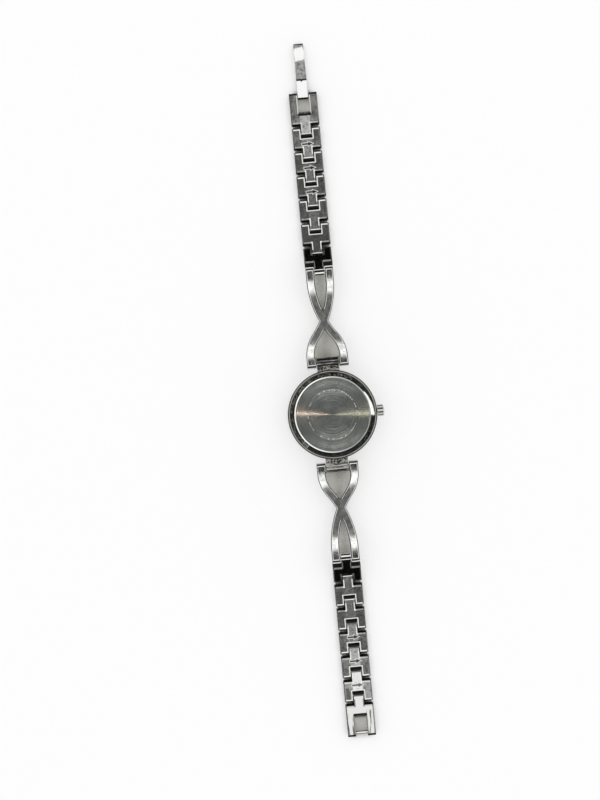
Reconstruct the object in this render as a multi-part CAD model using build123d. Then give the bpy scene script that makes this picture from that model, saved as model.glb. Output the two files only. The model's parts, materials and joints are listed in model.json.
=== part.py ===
from build123d import *
import os
from math import acos, asin, atan2, cos, degrees, radians, sin, sqrt

# A round bracelet watch lying face down, in millimetres, with +Z up.
# The origin is the centre of the crystal's flat face, which lies on the table at z = 0.
# The crown points along +X, the six o'clock chain along +Y and the twelve o'clock chain along -Y.

# Case
case_radius = 12.75
case_front_bevel = 0.65
case_back_bevel = 0.35
ledge_thickness = 0.9
window_margin = 0.8
crystal_lip = 0.4

# Lug blocks and the hinge between the case and the criss-cross links
lug_width = 6.3
lug_radius = 1.4
lug_neck = 2.2
lug_pin_stand_out = 2.25
lug_pin_height = 5.0
lug_pin_radius = 0.5

# Front of the watch
crystal_radius = 9.6
crystal_thickness = 1.3
crystal_bevel = 0.2
crystal_seat_gap = 0.35
bezel_top = 0.25
bezel_shoulder_inset = 0.36
bezel_shoulder_height = 0.73
bezel_crown_width = 0.55
bezel_lip_width = 0.85
dial_margin = 0.2
dial_thickness = 0.4
dial_ring_width = 0.7
dial_ring_edge = 0.2
marker_count = 12
marker_outer = 8.2
marker_long = 1.9
marker_short = 1.2
marker_width = 0.45
marker_height = 0.2
marker_bevel = 0.05

# Hands and the wheels that carry them
hand_thickness = 0.15
hand_gap = 0.15
hour_hand_length = 4.6
hour_hand_width = 0.95
minute_hand_length = 7.2
minute_hand_width = 0.75
second_hand_length = 7.6
second_hand_width = 0.22
hand_tail_share = 0.22
hand_shoulder_share = 0.6
arbor_radius = 0.2
minute_tube_radius = 0.45
hour_tube_radius = 0.72
running_gap = 0.05
tube_wall = 0.2
hour_wheel_radius = 2.2
minute_wheel_radius = 1.6
seconds_wheel_radius = 1.4
tooth_depth = 0.18
tooth_count = 20
wheel_thickness = 0.2
hour_hand_time = 10 + 10 / 60
minute_hand_time = 10
second_hand_time = 36

# Movement
plate_radius = 8.6
dial_to_plate = 0.7
plate_thickness = 0.8
movement_ring_width = 1.3
cavity_margin = 0.3
battery_radius = 2.9
battery_height = 1.4
battery_step = 0.29
battery_place = (-4.85, -2.75)
battery_room = 0.5
coil_radius = 0.55
coil_core_radius = 0.25
coil_length = 5.2
coil_place = (3.2, 5.2)
coil_turn = -28
circuit_thickness = 0.25
bridge_thickness = 0.35
bridge_radius = 2.1
pillar_radius = 0.35
pillar_count = 3
pillar_start = 20
piece_gap = 0.12

# Crown, stem and setting lever
crown_radius = 1.7
crown_length = 2.0
crown_dome = 0.45
crown_gap = 0.12
crown_flutes = 10
flute_radius = 0.34
stem_radius = 0.35
stem_neck_radius = 0.2
stem_inner_end = 5.6
stem_neck_start = 6.3
stem_neck_length = 0.6
lever_length = 1.6
lever_width = 1.4
lever_corner = 0.35
lever_thickness = 0.22

# Caseback
caseback_rim = 0.8
caseback_flange = 0.45
caseback_shoulder_width = 1.1
caseback_shoulder_drop = 0.14
caseback_edge_width = 0.3
caseback_thickness = 0.8
caseback_stand = 1.3
skirt_width = 0.4
gasket_width = 0.6
gasket_height = 0.3
gasket_gap = 0.04
notch_width = 1.6
notch_depth = 0.85
notch_angle = 223

# T-shaped links
link_count = 6
pitch = 6.9
link_width = 8.0
link_thickness = 2.3
ear_reach = 1.32
back_gap = 1.68
front_gap = 0.2
slot_width = 3.4
slot_clearance = 1.32
tongue_width = 2.7
tongue_radius = 1.0
tongue_flat_start = 1.0
back_chamfer = 0.3
front_chamfer = 0.45
link_pin_radius = 0.42
pin_inset = 0.06
steep_link_drop = 36.0

# Criss-cross links
cross_length = 25.8
cross_arch_radius = 34.4
cross_thickness = 2.2
cross_wide = 11.8
cross_narrow = 7.8
cross_strand = 2.3
cross_waist = 11.8
cross_straight = 1.5
cross_narrow_straight = 2.3
cross_end_reach = 1.35
knuckle_gap = 0.15
crotch_round = 0.35
cross_wrist_chamfer = 0.35
cross_face_chamfer = 0.35

# End links and their bars
end_length = 11.7
window_depth = 6.0
bar_radius = 0.4
bar_inset = 1.0

# Clasp
arm_width = 2.9
arm_barrel_radius = 0.75
arm_plate_thickness = 0.75
arm_plate_rise = 0.75
fold_reach = 5.2
fold_drop = 0.55
fold_knuckle_radius = 0.5
fold_knuckle_width = 1.1
fold_pin_radius = 0.25
fold_side_gap = 0.08
plate_seam = 0.15
seam_reach = 4.6
lever_reach = 10.0
lever_base_width = 3.0
lever_tip_width = 2.7
lever_crown = 0.45
lever_plate = 0.75
hook_depth = 1.75
hook_thickness = 0.7

# One overrun serves every cut
overrun = 1.0

# Radii that follow from the case and the movement
bezel_radius = case_radius - case_front_bevel
caseback_radius = case_radius - caseback_rim
caseback_shoulder_radius = caseback_radius - caseback_shoulder_width
caseback_flat_radius = caseback_shoulder_radius - caseback_edge_width
cavity_radius = plate_radius + movement_ring_width + cavity_margin
dial_radius = cavity_radius - dial_margin
window_radius = cavity_radius - window_margin
lug_pin_reach = case_radius + lug_pin_stand_out

# Heights, stacked from the crystal up to the caseback
case_front = crystal_thickness + crystal_lip
ledge_height = case_front + ledge_thickness
dial_top = ledge_height + dial_thickness
plate_bottom = dial_top + dial_to_plate
plate_top = plate_bottom + plate_thickness
stem_height = plate_bottom + plate_thickness / 2
caseback_under = plate_top + battery_height + battery_room
case_height = caseback_under + caseback_thickness
case_back = case_height - caseback_stand
cavity_top = case_back - gasket_height
hour_level = ledge_height - marker_height - hand_thickness
minute_level = hour_level - hand_thickness - hand_gap
second_level = minute_level - hand_thickness - hand_gap

# Places that the links share
half_thick = link_thickness / 2
front_shoulder = ear_reach + (back_gap + front_gap) / 2
front_reach = front_shoulder - front_gap
foot_reach = front_reach - front_chamfer


def resting_height(drop):
    """Height of a link's outer pin when the front corner of its ears lies on the table."""
    return foot_reach * sin(drop) + half_thick * cos(drop)


def resting_drop(height):
    """Angle at which a link falls from its inner pin until its ears lie on the table."""
    reach = pitch + foot_reach
    return asin(height / sqrt(reach ** 2 + half_thick ** 2)) - atan2(half_thick, reach)


def chain_places():
    """Slope of the cross link, and reach, height and slope of each link's tongue pin."""
    drop = radians(steep_link_drop)
    height = resting_height(drop) + pitch * sin(drop)
    cross_slope = asin((height - lug_pin_height) / cross_length)
    reach = lug_pin_reach + cross_length * cos(cross_slope)
    places = []
    for _ in range(link_count):
        places.append((reach, height, -degrees(drop)))
        reach = reach + pitch * cos(drop)
        height = height - pitch * sin(drop)
        drop = resting_drop(height)
    places.append((reach, height, 0.0))
    return degrees(cross_slope), places


def on_chain(shape, reach, height, slope, side):
    """Set a piece drawn about its own pin on the chain of one side."""
    turn = 0 if side == "six" else 180
    return Rotation(0, 0, turn) * Pos(0, reach, height) * Rotation(slope, 0, 0) * shape


def across(profile, width):
    """Draw a side outline, given as (reach, height), across the width of the bracelet."""
    plane = Plane(origin=(0, 0, 0), x_dir=(0, 1, 0), z_dir=(1, 0, 0))
    return extrude(plane * profile, amount=width / 2, both=True)


def outline(*points):
    return make_face(Polyline(*points, close=True))


def ring(outer, inner, bottom, top):
    tall = top - bottom
    body = Pos(0, 0, bottom) * extrude(Circle(outer) - Circle(inner), amount=tall)
    return body


def spun(*points):
    """Turn a half outline, given as (radius, height), about the watch's axis."""
    return revolve(Plane.XZ * outline(*points), Axis.Z)


def cross_pin(radius, length):
    """A round pin across the bracelet, on the X axis."""
    plane = Plane(origin=(0, 0, 0), x_dir=(0, 1, 0), z_dir=(1, 0, 0))
    return extrude(plane * Circle(radius), amount=length / 2, both=True)


def tongue():
    """The round-ended tongue of a link, eased towards its pin on both faces."""
    reach = tongue_flat_start
    far = ear_reach + back_gap + tongue_flat_start
    span = sqrt(reach ** 2 + half_thick ** 2)
    touch = atan2(half_thick, reach) + acos(tongue_radius / span)
    tx = tongue_radius * cos(touch)
    tz = tongue_radius * sin(touch)
    side = outline((tx, tz), (reach, half_thick), (far, half_thick),
                   (far, -half_thick), (reach, -half_thick), (tx, -tz))
    return across(side + Circle(tongue_radius), tongue_width)


def link_blank(back_end, front_end):
    """A link's body with sloped end walls and a bevelled front face, before its slot and holes."""
    side = outline((ear_reach + back_gap, half_thick), (back_end, half_thick),
                   (front_end, -half_thick), (front_shoulder, -half_thick))
    body = across(side, link_width)
    return chamfer(body.edges().group_by(Axis.Z)[0], front_chamfer)


def slot_cut(bottom, length):
    """The slot between the ears, open at the outer end."""
    depth = length - bottom + overrun + half_thick
    return Pos(0, bottom + depth / 2, 0) * Box(slot_width, depth, link_thickness + 2 * overrun)


def finish_link(body, holes):
    """Bevel round the flat back face, but not where the tongue starts to fall, and drill the holes."""
    back_edges = body.edges().group_by(Axis.Z)[-1].sort_by(Axis.Y)
    body = chamfer(back_edges[1:], back_chamfer)
    for hole in holes:
        body = body - hole
    return body


def t_link():
    """One T-shaped link about its tongue pin, with its ears one pitch further out."""
    body = link_blank(pitch + ear_reach, pitch + front_reach)
    body = body - slot_cut(pitch - slot_clearance, pitch + ear_reach)
    tongue_hole = cross_pin(link_pin_radius + running_gap, tongue_width + overrun)
    ear_hole = Pos(0, pitch, 0) * cross_pin(link_pin_radius, link_width + overrun)
    return finish_link(body + tongue(), [tongue_hole, ear_hole])


def end_link():
    """The U-shaped end link, whose prongs carry a bar."""
    body = link_blank(end_length, end_length)
    body = body - slot_cut(end_length - window_depth, end_length)
    tongue_hole = cross_pin(link_pin_radius + running_gap, tongue_width + overrun)
    bar_hole = Pos(0, end_length - bar_inset, 0) * cross_pin(bar_radius, link_width + overrun)
    return finish_link(body + tongue(), [tongue_hole, bar_hole])


def strand_plan():
    """Plan of one strand: it leaves the wide hinge straight, crosses the axis and ends straight."""
    wide_place = (cross_wide - cross_strand) / 2
    narrow_place = (cross_narrow - cross_strand) / 2
    start = cross_straight
    stop = cross_length - cross_narrow_straight
    turn = 2 * atan2(wide_place + narrow_place, stop - start)
    radii = (stop - start) / sin(turn)
    narrow_radius = ((stop - cross_waist) ** 2 + narrow_place ** 2) / (2 * narrow_place)
    wide_radius = radii - narrow_radius
    half = cross_strand / 2
    wide_centre = (wide_place - wide_radius, start)
    narrow_centre = (narrow_radius - narrow_place, stop)

    def wide_point(radius, share):
        return (wide_centre[0] + radius * cos(turn * share), wide_centre[1] + radius * sin(turn * share))

    def narrow_point(radius, share):
        return (narrow_centre[0] - radius * cos(turn * share), narrow_centre[1] - radius * sin(turn * share))

    reach = cross_end_reach + overrun
    sides = []
    for shift in (half, -half):
        wide = wide_radius + shift
        narrow = narrow_radius - shift
        first = (wide_place + shift, -reach)
        last = (shift - narrow_place, cross_length + reach)
        sides.append((Line(first, wide_point(wide, 0)),
                      ThreePointArc(wide_point(wide, 0), wide_point(wide, 0.5), wide_point(wide, 1)),
                      ThreePointArc(narrow_point(narrow, 1), narrow_point(narrow, 0.5), narrow_point(narrow, 0)),
                      Line(narrow_point(narrow, 0), last), first, last))
    near = Line(sides[0][4], sides[1][4])
    far = Line(sides[0][5], sides[1][5])
    return make_face(Curve() + [*sides[0][:4], *sides[1][:4], near, far])


def cross_plan():
    """Plan of the two crossing strands with the wide knuckles."""
    strand = strand_plan()
    both = strand + mirror(strand, about=Plane.YZ)
    inner = lug_width / 2 + knuckle_gap
    width = cross_wide / 2 - inner
    length = cross_straight + cross_end_reach + overrun
    knuckle = Rectangle(width, length)
    place = cross_straight - length / 2
    for turn in (1, -1):
        both = both + Pos(turn * (inner + width / 2), place) * knuckle
    corners = [point for point in both.vertices() if is_crotch(point)]
    return fillet(corners, crotch_round)


def is_crotch(point):
    """True at the inner corners and the waist, where the strands cross."""
    inside = cross_straight < point.Y < cross_length - cross_narrow_straight
    near_axis = abs(point.X) < cross_strand
    near_waist = abs(point.Y - cross_waist) < cross_strand * 2
    return inside and near_axis and near_waist


def cross_arch():
    """Side outline of the arch: a band of even thickness that sags between its two hinges."""
    half_chord = cross_length / 2
    rise = sqrt(cross_arch_radius ** 2 - half_chord ** 2)
    swing = asin(half_chord / cross_arch_radius) + cross_end_reach / cross_arch_radius
    outer = cross_arch_radius + cross_thickness / 2
    inner = cross_arch_radius - cross_thickness / 2

    def at(radius, angle):
        return (half_chord + radius * sin(angle), rise - radius * cos(angle))

    low = ThreePointArc(at(outer, -swing), at(outer, 0), at(outer, swing))
    high = ThreePointArc(at(inner, -swing), at(inner, 0), at(inner, swing))
    near = Line(at(outer, -swing), at(inner, -swing))
    far = Line(at(outer, swing), at(inner, swing))
    return across(make_face(Curve() + [low, high, near, far]), cross_wide + overrun)


def cross_link():
    """The criss-cross link about its wide hinge, with its narrow hinge along +Y."""
    tall = cross_length
    plan = Pos(0, 0, -tall / 2) * extrude(cross_plan(), amount=tall)
    body = plan & cross_arch()
    wrist_face = body.faces().filter_by(GeomType.CYLINDER).sort_by(SortBy.AREA)[-2]
    body = chamfer(wrist_face.edges(), cross_wrist_chamfer)
    outer_face = body.faces().filter_by(GeomType.CYLINDER).sort_by(SortBy.AREA)[-1]
    body = chamfer(outer_face.edges(), cross_face_chamfer)
    body = body - cross_pin(lug_pin_radius + running_gap, cross_wide + overrun)
    body = body - Pos(0, cross_length, 0) * cross_pin(link_pin_radius, cross_wide + overrun)
    return body


def lug():
    """One hinge lug: a neck from the case wall and a round barrel about the hinge."""
    start = cavity_radius + (case_radius - cavity_radius) / 2
    top = lug_pin_height + lug_neck / 2
    step = caseback_radius + knuckle_gap
    neck = outline((start, cavity_top), (step, cavity_top), (step, top), (lug_pin_reach, top),
                   (lug_pin_reach, lug_pin_height - lug_neck / 2), (start, case_front + lug_neck / 2))
    barrel = Pos(lug_pin_reach, lug_pin_height) * Circle(lug_radius)
    return across(neck + barrel, lug_width)


def case_body():
    """Middle case with its front window, movement cavity, gasket seat, lugs and stem bore."""
    seat = cavity_radius + gasket_gap * 2 + gasket_width + running_gap
    body = spun((window_radius, case_front), (case_radius - case_front_bevel, case_front),
                (case_radius, case_front + case_front_bevel), (case_radius, case_back),
                (seat, case_back), (seat, cavity_top), (cavity_radius, cavity_top),
                (cavity_radius, ledge_height), (window_radius, ledge_height))
    rim = body.edges().filter_by(GeomType.CIRCLE).group_by(Axis.Z)[-1].sort_by(SortBy.RADIUS)[-1]
    body = chamfer(rim, case_back_bevel)
    for turn in (0, 180):
        hinge = lug() - Pos(0, lug_pin_reach, lug_pin_height) * cross_pin(lug_pin_radius, lug_width + overrun)
        body = body + Rotation(0, 0, turn) * hinge
    return body - stem_bore(stem_radius + running_gap)


def stem_bore(radius):
    """A bore along the stem, from its inner end out through the case wall."""
    length = case_radius + overrun - stem_inner_end
    bore = Rotation(0, 90, 0) * Cylinder(radius, length)
    return Pos(stem_inner_end + length / 2, 0, stem_height) * bore


def bezel():
    """Polished bezel with a domed front, a seat for the crystal and a lip behind it."""
    seat = crystal_radius + crystal_seat_gap
    crest = seat + bezel_crown_width
    lip = seat - bezel_lip_width
    flat = Line((seat, bezel_top), (crest, bezel_top))
    dome = ThreePointArc((crest, bezel_top), (bezel_radius - bezel_shoulder_inset, bezel_shoulder_height),
                         (bezel_radius, case_front))
    rest = Polyline((bezel_radius, case_front), (lip, case_front),
                    (lip, crystal_thickness), (seat, crystal_thickness), (seat, bezel_top))
    return revolve(Plane.XZ * make_face(Curve() + [flat, dome, rest]), Axis.Z)


def crystal():
    """Flat crystal with a bevelled face edge."""
    return spun((0, 0), (crystal_radius - crystal_bevel, 0), (crystal_radius, crystal_bevel),
                (crystal_radius, crystal_thickness), (0, crystal_thickness))


def crystal_gasket():
    seat = crystal_radius + crystal_seat_gap
    return ring(seat - gasket_gap, crystal_radius, bezel_top + crystal_bevel, crystal_thickness)


def dial_ring():
    """Sloped ring between the dial and the bezel."""
    outer = window_radius - running_gap
    inner = outer - dial_ring_width
    return spun((outer, case_front), (outer, ledge_height), (inner, ledge_height),
                (inner, ledge_height - dial_ring_edge), (outer - dial_ring_edge, case_front))


def dial():
    return ring(dial_radius, hour_tube_radius + running_gap * 2, ledge_height, dial_top)


def hour_markers():
    """Twelve raised bars, longer at twelve, three, six and nine."""
    bars = []
    for hour in range(marker_count):
        length = marker_long if hour % 3 == 0 else marker_short
        bar = Box(length, marker_width, marker_height)
        bar = chamfer(bar.edges().group_by(Axis.Z)[0], marker_bevel)
        bar = Pos(marker_outer - length / 2, 0, ledge_height - marker_height / 2) * bar
        bars.append(Rotation(0, 0, hour * 360 / marker_count) * bar)
    return Compound(children=bars)


def hand(length, width, bottom, hole):
    """A tapered hand that points along +X, with a short tail and a round boss."""
    tail = length * hand_tail_share
    shoulder = length * hand_shoulder_share
    blade = outline((-tail, -width / 2), (shoulder, -width / 2), (length, 0),
                    (shoulder, width / 2), (-tail, width / 2))
    plan = blade + Circle(hole + tube_wall) - Circle(hole)
    return Pos(0, 0, bottom) * extrude(plan, amount=hand_thickness)


def clock_angle(share):
    """Angle from +X of a share of a turn, counted clockwise from twelve as seen on the dial."""
    return share * 360 - 90


def hour_hand():
    turned = Rotation(0, 0, clock_angle(hour_hand_time / 12))
    return turned * hand(hour_hand_length, hour_hand_width, hour_level, hour_tube_radius)


def minute_hand():
    turned = Rotation(0, 0, clock_angle(minute_hand_time / 60))
    return turned * hand(minute_hand_length, minute_hand_width, minute_level, minute_tube_radius)


def second_hand():
    turned = Rotation(0, 0, clock_angle(second_hand_time / 60))
    return turned * hand(second_hand_length, second_hand_width, second_level, arbor_radius)


def toothed_disc(radius, hole, bottom):
    """A thin gear with straight-sided teeth."""
    step = 360 / tooth_count
    root = radius - tooth_depth
    half_root = root * sin(radians(step / 4))
    half_tip = half_root / 2
    tooth = outline((root - tooth_depth, -half_root), (radius, -half_tip),
                    (radius, half_tip), (root - tooth_depth, half_root))
    plan = RegularPolygon(root, tooth_count)
    teeth = [Rotation(0, 0, number * step) * tooth for number in range(tooth_count)]
    plan = plan + teeth - Circle(hole)
    return Pos(0, 0, bottom) * extrude(plan, amount=wheel_thickness)


def hour_wheel():
    """Wheel under the dial, on the tube that carries the hour hand."""
    bore = minute_tube_radius + running_gap
    bottom = dial_top + piece_gap
    tube = ring(hour_tube_radius, bore, hour_level, bottom + wheel_thickness)
    return toothed_disc(hour_wheel_radius, bore, bottom) + tube


def minute_wheel():
    """Wheel above the plate, on the long tube that carries the minute hand."""
    bore = arbor_radius + running_gap
    bottom = plate_top + piece_gap
    tube = ring(minute_tube_radius, bore, minute_level, bottom + wheel_thickness)
    return toothed_disc(minute_wheel_radius, bore, bottom) + tube


def seconds_wheel():
    """Top wheel, on the thin arbor that carries the second hand."""
    bottom = plate_top + piece_gap * 2 + wheel_thickness
    top = bottom + wheel_thickness + piece_gap
    arbor = Pos(0, 0, second_level) * extrude(Circle(arbor_radius), amount=top - second_level)
    return toothed_disc(seconds_wheel_radius, arbor_radius / 2, bottom) + arbor


def main_plate():
    """Round plate with a hole for the minute tube and an open channel for the stem."""
    plate = ring(plate_radius, minute_tube_radius + running_gap, plate_bottom, plate_top)
    channel_width = 2 * stem_radius + 2 * piece_gap
    channel_length = plate_radius + overrun - stem_inner_end
    middle = stem_inner_end - piece_gap + channel_length / 2
    channel = Pos(middle, 0, stem_height) * Box(channel_length, channel_width, plate_thickness + overrun)
    return plate - channel


def train_bridge():
    """Bridge over the wheels, on three pillars that stand on the plate."""
    wheels_top = plate_top + 2 * (piece_gap + wheel_thickness)
    bottom = wheels_top + piece_gap
    shape = ring(bridge_radius, arbor_radius + running_gap, bottom, bottom + bridge_thickness)
    for number in range(pillar_count):
        pillar = Pos(bridge_radius, 0, plate_top) * extrude(Circle(pillar_radius), amount=bottom - plate_top
                                                            + bridge_thickness)
        shape = shape + Rotation(0, 0, pillar_start + number * 360 / pillar_count) * pillar
    return shape


def battery():
    """Button cell with a stepped edge."""
    x, y = battery_place
    rim = battery_radius - battery_step
    cell = spun((0, 0), (rim, 0), (rim, battery_step), (battery_radius, battery_step),
                (battery_radius, battery_height), (0, battery_height))
    return Pos(x, y, plate_top) * cell


def coil():
    """Wound coil of the stepping motor, on a core with flat ends."""
    end_size = 2 * coil_radius
    core = Rotation(0, 90, 0) * Cylinder(coil_core_radius, coil_length)
    winding = Rotation(0, 90, 0) * Cylinder(coil_radius, coil_length - 2 * end_size)
    shape = core + winding
    for turn in (1, -1):
        end = Pos(turn * (coil_length - end_size) / 2, 0, -coil_radius / 2) * Box(end_size, end_size, coil_radius)
        shape = shape + end
    return Pos(*coil_place, plate_top + coil_radius) * Rotation(0, 0, coil_turn) * shape


def circuit_board():
    """Thin board beside the coil, cut to the round of the plate."""
    outer = plate_radius - pillar_radius
    inner = bridge_radius + pillar_radius + piece_gap * 2
    board = ring(outer, inner, plate_top, plate_top + circuit_thickness)
    reach = plate_radius * 2
    keep = Pos(-reach / 2, reach / 2 + coil_radius, plate_top) * Box(reach, reach, reach)
    return board & keep


def setting_lever():
    """Flat lever on the plate, with a peg in the neck of the stem."""
    bottom = plate_top + piece_gap / 2
    middle = stem_neck_start + stem_neck_length / 2
    plate = Pos(middle, 0, bottom + lever_thickness / 2) * Box(lever_length, lever_width, lever_thickness)
    plate = fillet(plate.edges().filter_by(Axis.Z), lever_corner)
    peg_bottom = stem_height + stem_neck_radius + running_gap
    peg = Pos(middle, 0, peg_bottom) * extrude(Circle(stem_neck_length / 2 - running_gap * 2),
                                               amount=bottom - peg_bottom + lever_thickness / 2)
    return plate + peg


def movement_ring():
    """Plastic ring that centres the movement in the case."""
    outer = plate_radius + movement_ring_width
    body = ring(outer, plate_radius + running_gap, dial_top, cavity_top - piece_gap)
    return body - stem_bore(stem_radius + piece_gap)


def crown():
    """Domed crown with fat rounded flutes and a bore for the stem."""
    plan = Circle(crown_radius)
    step = 360 / crown_flutes
    for number in range(crown_flutes):
        groove = Pos(crown_radius + flute_radius / 2, 0) * Circle(flute_radius)
        plan = plan - Rotation(0, 0, (number + 0.5) * step) * groove
    edge = crown_length - crown_dome
    dome_radius = (crown_radius ** 2 + crown_dome ** 2) / (2 * crown_dome)
    ball = Pos(0, 0, crown_length - dome_radius) * Sphere(dome_radius)
    body = extrude(plan, amount=edge + crown_dome) & ball
    body = body - Cylinder(stem_radius, crown_length)
    start = case_radius + crown_gap
    return Pos(start, 0, stem_height) * Rotation(0, 90, 0) * body


def crown_stem():
    """Stem from the crown into the movement, with a neck for the setting lever."""
    end = case_radius + crown_gap + crown_length / 2
    neck_end = stem_neck_start + stem_neck_length
    profile = spun((0, stem_inner_end), (stem_radius, stem_inner_end), (stem_radius, stem_neck_start),
                   (stem_neck_radius, stem_neck_start), (stem_neck_radius, neck_end),
                   (stem_radius, neck_end), (stem_radius, end), (0, end))
    return Pos(0, 0, stem_height) * Rotation(0, 90, 0) * profile


def caseback():
    """Snap-on caseback with a flat middle, a polished shoulder, a snap skirt and a pry notch."""
    skirt_outer = cavity_radius - running_gap
    skirt_inner = skirt_outer - skirt_width
    flange_top = case_back + caseback_flange
    body = spun((0, caseback_under), (skirt_inner, caseback_under), (skirt_inner, cavity_top - running_gap),
                (skirt_outer, cavity_top - running_gap), (skirt_outer, case_back), (caseback_radius, case_back),
                (caseback_radius, flange_top), (caseback_shoulder_radius, case_height - caseback_shoulder_drop),
                (caseback_flat_radius, case_height), (0, case_height))
    cut = Box(caseback_radius, notch_width, case_height)
    middle = caseback_radius - notch_depth + caseback_radius / 2
    return body - Rotation(0, 0, notch_angle) * Pos(middle, 0, case_height) * cut


def caseback_gasket():
    inner = cavity_radius + gasket_gap
    return ring(inner + gasket_width, inner, cavity_top, case_back - gasket_gap)


def link_pin():
    return cross_pin(link_pin_radius, link_width - 2 * pin_inset)


def narrow_pin():
    return cross_pin(link_pin_radius, cross_narrow - 2 * pin_inset)


def end_bar():
    return cross_pin(bar_radius, link_width - 2 * pin_inset)


def lug_pins():
    """The two pins that stay in the lugs and carry the criss-cross links."""
    pin = cross_pin(lug_pin_radius, cross_wide - 2 * pin_inset)
    return Compound(children=[on_chain(pin, lug_pin_reach, lug_pin_height, 0, side) for side in ("six", "twelve")])


def clasp_arm():
    """Inner plate of the clasp: a barrel round the bar, a flat plate and a middle fold knuckle."""
    top = arm_plate_rise
    under = top - arm_plate_thickness
    barrel = across(Circle(arm_barrel_radius), arm_width)
    plate = across(outline((0, under), (0, top), (seam_reach, top), (seam_reach, under)), arm_width)
    inside = under + arm_plate_thickness / 2
    web = outline((seam_reach - fold_knuckle_radius, inside), (seam_reach, inside),
                  (seam_reach, under), (fold_reach, fold_knuckle_radius - fold_drop),
                  (fold_reach, -fold_drop), (fold_reach - fold_knuckle_radius, -fold_drop))
    knuckle = across(web + Pos(fold_reach, -fold_drop) * Circle(fold_knuckle_radius), fold_knuckle_width)
    body = barrel + plate + knuckle
    body = body - cross_pin(bar_radius + running_gap, arm_width + overrun)
    return body - Pos(0, fold_reach, -fold_drop) * cross_pin(fold_pin_radius, arm_width)


def clasp_lever():
    """Outer lever of the clasp: two fold knuckles, a convex tapered plate and a hooked tip."""
    top = arm_plate_rise + fold_drop
    under = top - lever_plate
    start = seam_reach + plate_seam - fold_reach
    middle = (start + lever_reach) / 2
    hook_start = lever_reach - hook_thickness
    upper = ThreePointArc((start, top), (middle, top + lever_crown), (lever_reach, top - lever_crown))
    lower = ThreePointArc((hook_start, top - lever_plate), (middle, under + lever_crown), (start, under))
    hook = Polyline((lever_reach, top - lever_crown), (lever_reach, top - hook_depth),
                    (hook_start, top - hook_depth), (hook_start, top - lever_plate))
    close = Line((start, under), (start, top))
    plate = across(make_face(Curve() + [upper, hook, lower, close]), lever_base_width)
    taper = outline((-lever_base_width / 2, start), (lever_base_width / 2, start),
                    (lever_tip_width / 2, lever_reach), (-lever_tip_width / 2, lever_reach))
    plate = plate & Pos(0, 0, -link_thickness) * extrude(taper, amount=2 * link_thickness)
    side_width = (lever_base_width - fold_knuckle_width) / 2 - fold_side_gap
    inside = under + lever_plate / 2
    web = outline((start, inside), (fold_knuckle_radius, inside), (fold_knuckle_radius, 0), (0, 0), (start, under))
    cheek = across(web + Circle(fold_knuckle_radius), side_width)
    for turn in (1, -1):
        plate = plate + Pos(turn * (lever_base_width - side_width) / 2, 0, 0) * cheek
    return plate - cross_pin(fold_pin_radius + running_gap, lever_base_width + overrun)


def clasp_pin():
    return cross_pin(fold_pin_radius, lever_base_width - 2 * pin_inset)


def chain(side):
    """Every piece of one side's chain, by name."""
    slope, places = chain_places()
    pieces = {}
    cross_place = (lug_pin_reach, lug_pin_height, slope, side)
    pieces[f"{side}_cross_link"] = on_chain(cross_link(), *cross_place)
    pieces[f"{side}_pin_1"] = on_chain(narrow_pin(), *places[0][:2], 0, side)
    link = t_link()
    for number in range(link_count):
        pieces[f"{side}_link_{number + 1}"] = on_chain(link, *places[number], side)
        pieces[f"{side}_pin_{number + 2}"] = on_chain(link_pin(), *places[number + 1][:2], 0, side)
    last = places[link_count]
    pieces[f"{side}_end_link"] = on_chain(end_link(), *last, side)
    bar_reach = last[0] + end_length - bar_inset
    pieces[f"{side}_end_bar"] = on_chain(end_bar(), bar_reach, last[1], 0, side)
    return pieces, bar_reach, last[1]


def clasp(bar_reach, bar_height):
    """The clasp on the six o'clock side, open and lying flat."""
    fold = (bar_reach + fold_reach, bar_height - fold_drop, 0, "six")
    return {
        "clasp_arm": on_chain(clasp_arm(), bar_reach, bar_height, 0, "six"),
        "clasp_lever": on_chain(clasp_lever(), *fold),
        "clasp_pin": on_chain(clasp_pin(), *fold),
    }


def watch_head():
    """The case and everything in it, by name."""
    makers = [case_body, lug_pins, bezel, crystal, crystal_gasket, dial_ring, dial, hour_markers,
              hour_hand, minute_hand, second_hand, hour_wheel, minute_wheel, seconds_wheel, main_plate,
              train_bridge, battery, coil, circuit_board, setting_lever, crown, crown_stem,
              movement_ring, caseback, caseback_gasket]
    return {maker.__name__: maker() for maker in makers}


def main():
    os.makedirs("parts", exist_ok=True)
    six_side, bar_reach, bar_height = chain("six")
    twelve_side, _, _ = chain("twelve")
    pieces = {**watch_head(), **six_side, **twelve_side, **clasp(bar_reach, bar_height)}
    for name, shape in pieces.items():
        export_step(shape, f"parts/{name}.step")
    slope, places = chain_places()
    print("cross link slope", slope)
    for number, place in enumerate(places):
        print("pin", number + 1, "reach, height, slope", place)
    print("bar reach and height", bar_reach, bar_height)
    print("pieces", len(pieces))


main()
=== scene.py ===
import json
from math import atan2, cos, degrees, pi, radians, sin

import bmesh
import bpy
from mathutils import Matrix, Vector

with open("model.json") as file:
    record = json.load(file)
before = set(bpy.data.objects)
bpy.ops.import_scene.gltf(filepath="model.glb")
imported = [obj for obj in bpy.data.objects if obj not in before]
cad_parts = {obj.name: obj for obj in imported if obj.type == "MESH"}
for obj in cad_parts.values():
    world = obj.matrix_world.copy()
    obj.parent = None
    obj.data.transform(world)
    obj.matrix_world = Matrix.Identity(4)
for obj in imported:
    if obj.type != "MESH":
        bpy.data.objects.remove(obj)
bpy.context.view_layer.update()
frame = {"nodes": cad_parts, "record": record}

# The bracelet watch lies face down, caseback up, with the crown along +X and the clasp chain along +Y.
MM = 0.001
LINKS = 6
MARKED_LINKS = (4, 5, 6)

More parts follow.
